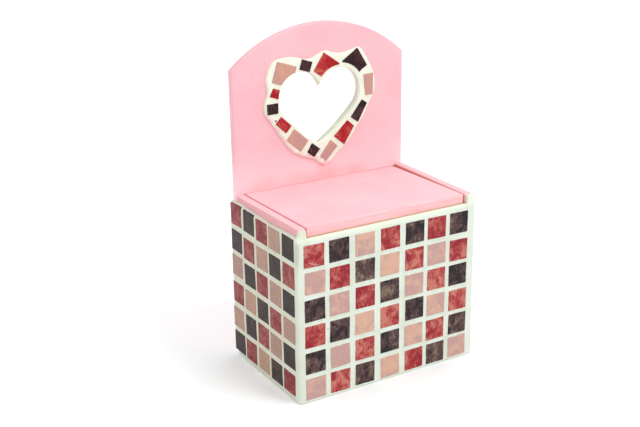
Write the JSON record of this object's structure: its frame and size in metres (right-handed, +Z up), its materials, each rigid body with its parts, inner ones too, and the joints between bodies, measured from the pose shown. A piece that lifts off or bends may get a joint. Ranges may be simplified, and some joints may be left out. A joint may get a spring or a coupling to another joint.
{
  "type": "wooden mosaic box with heart back board",
  "caption": "Small painted wooden box with a lift-off lid, mosaic on its front and sides, and a tall arched back board with a heart-shaped window.",
  "frame": {"origin": "middle of the box's bounding box, on the plane of its underside", "axes": "+Z up, +X to the right as seen from the front, -Y is the mosaic front, +Y is the plain back of the back board"},
  "size_m": [0.094, 0.0604, 0.1534],
  "materials": {
    "pink_paint": "thin plywood under satin pink craft paint, with faint brush marks and grain",
    "plaster": "matt off-white mosaic plaster, smoothed by hand",
    "red_tile": "glossy coral red with pale feathery swirls",
    "black_tile": "glossy brown-black with faint mottling",
    "pink_tile": "glossy dusty pink with peach and lilac bands"
  },
  "bodies": {
    "root": {"base_board": "pink_paint", "front_board": "pink_paint", "left_side_board": "pink_paint", "right_side_board": "pink_paint", "back_board": "pink_paint", "lid": "pink_paint", "front_plaster": "plaster", "left_mosaic": "plaster", "right_mosaic": "plaster", "heart_mosaic": "plaster", "front_tile_row1_1": "red_tile", "front_tile_row1_2": "black_tile", "front_tile_row1_3": "pink_tile", "front_tile_row1_4": "red_tile", "front_tile_row1_5": "black_tile", "front_tile_row1_6": "red_tile", "front_tile_row1_7": "black_tile", "front_tile_row2_1": "pink_tile", "front_tile_row2_2": "red_tile", "front_tile_row2_3": "black_tile", "front_tile_row2_4": "pink_tile", "front_tile_row2_5": "red_tile", "front_tile_row2_6": "pink_tile", "front_tile_row2_7": "red_tile", "front_tile_row3_1": "black_tile", "front_tile_row3_2": "pink_tile", "front_tile_row3_3": "red_tile", "front_tile_row3_4": "black_tile", "front_tile_row3_5": "pink_tile", "front_tile_row3_6": "red_tile", "front_tile_row3_7": "black_tile", "front_tile_row4_1": "red_tile", "front_tile_row4_2": "black_tile", "front_tile_row4_3": "pink_tile", "front_tile_row4_4": "red_tile", "front_tile_row4_5": "black_tile", "front_tile_row4_6": "pink_tile", "front_tile_row4_7": "red_tile", "front_tile_row5_1": "black_tile", "front_tile_row5_2": "pink_tile", "front_tile_row5_3": "red_tile", "front_tile_row5_4": "black_tile", "front_tile_row5_5": "pink_tile", "front_tile_row5_6": "red_tile", "front_tile_row5_7": "black_tile", "front_tile_row6_1": "pink_tile", "front_tile_row6_2": "red_tile", "front_tile_row6_3": "black_tile", "front_tile_row6_4": "pink_tile", "front_tile_row6_5": "red_tile", "front_tile_row6_6": "black_tile", "front_tile_row6_7": "pink_tile"}
  },
  "joints": []
}
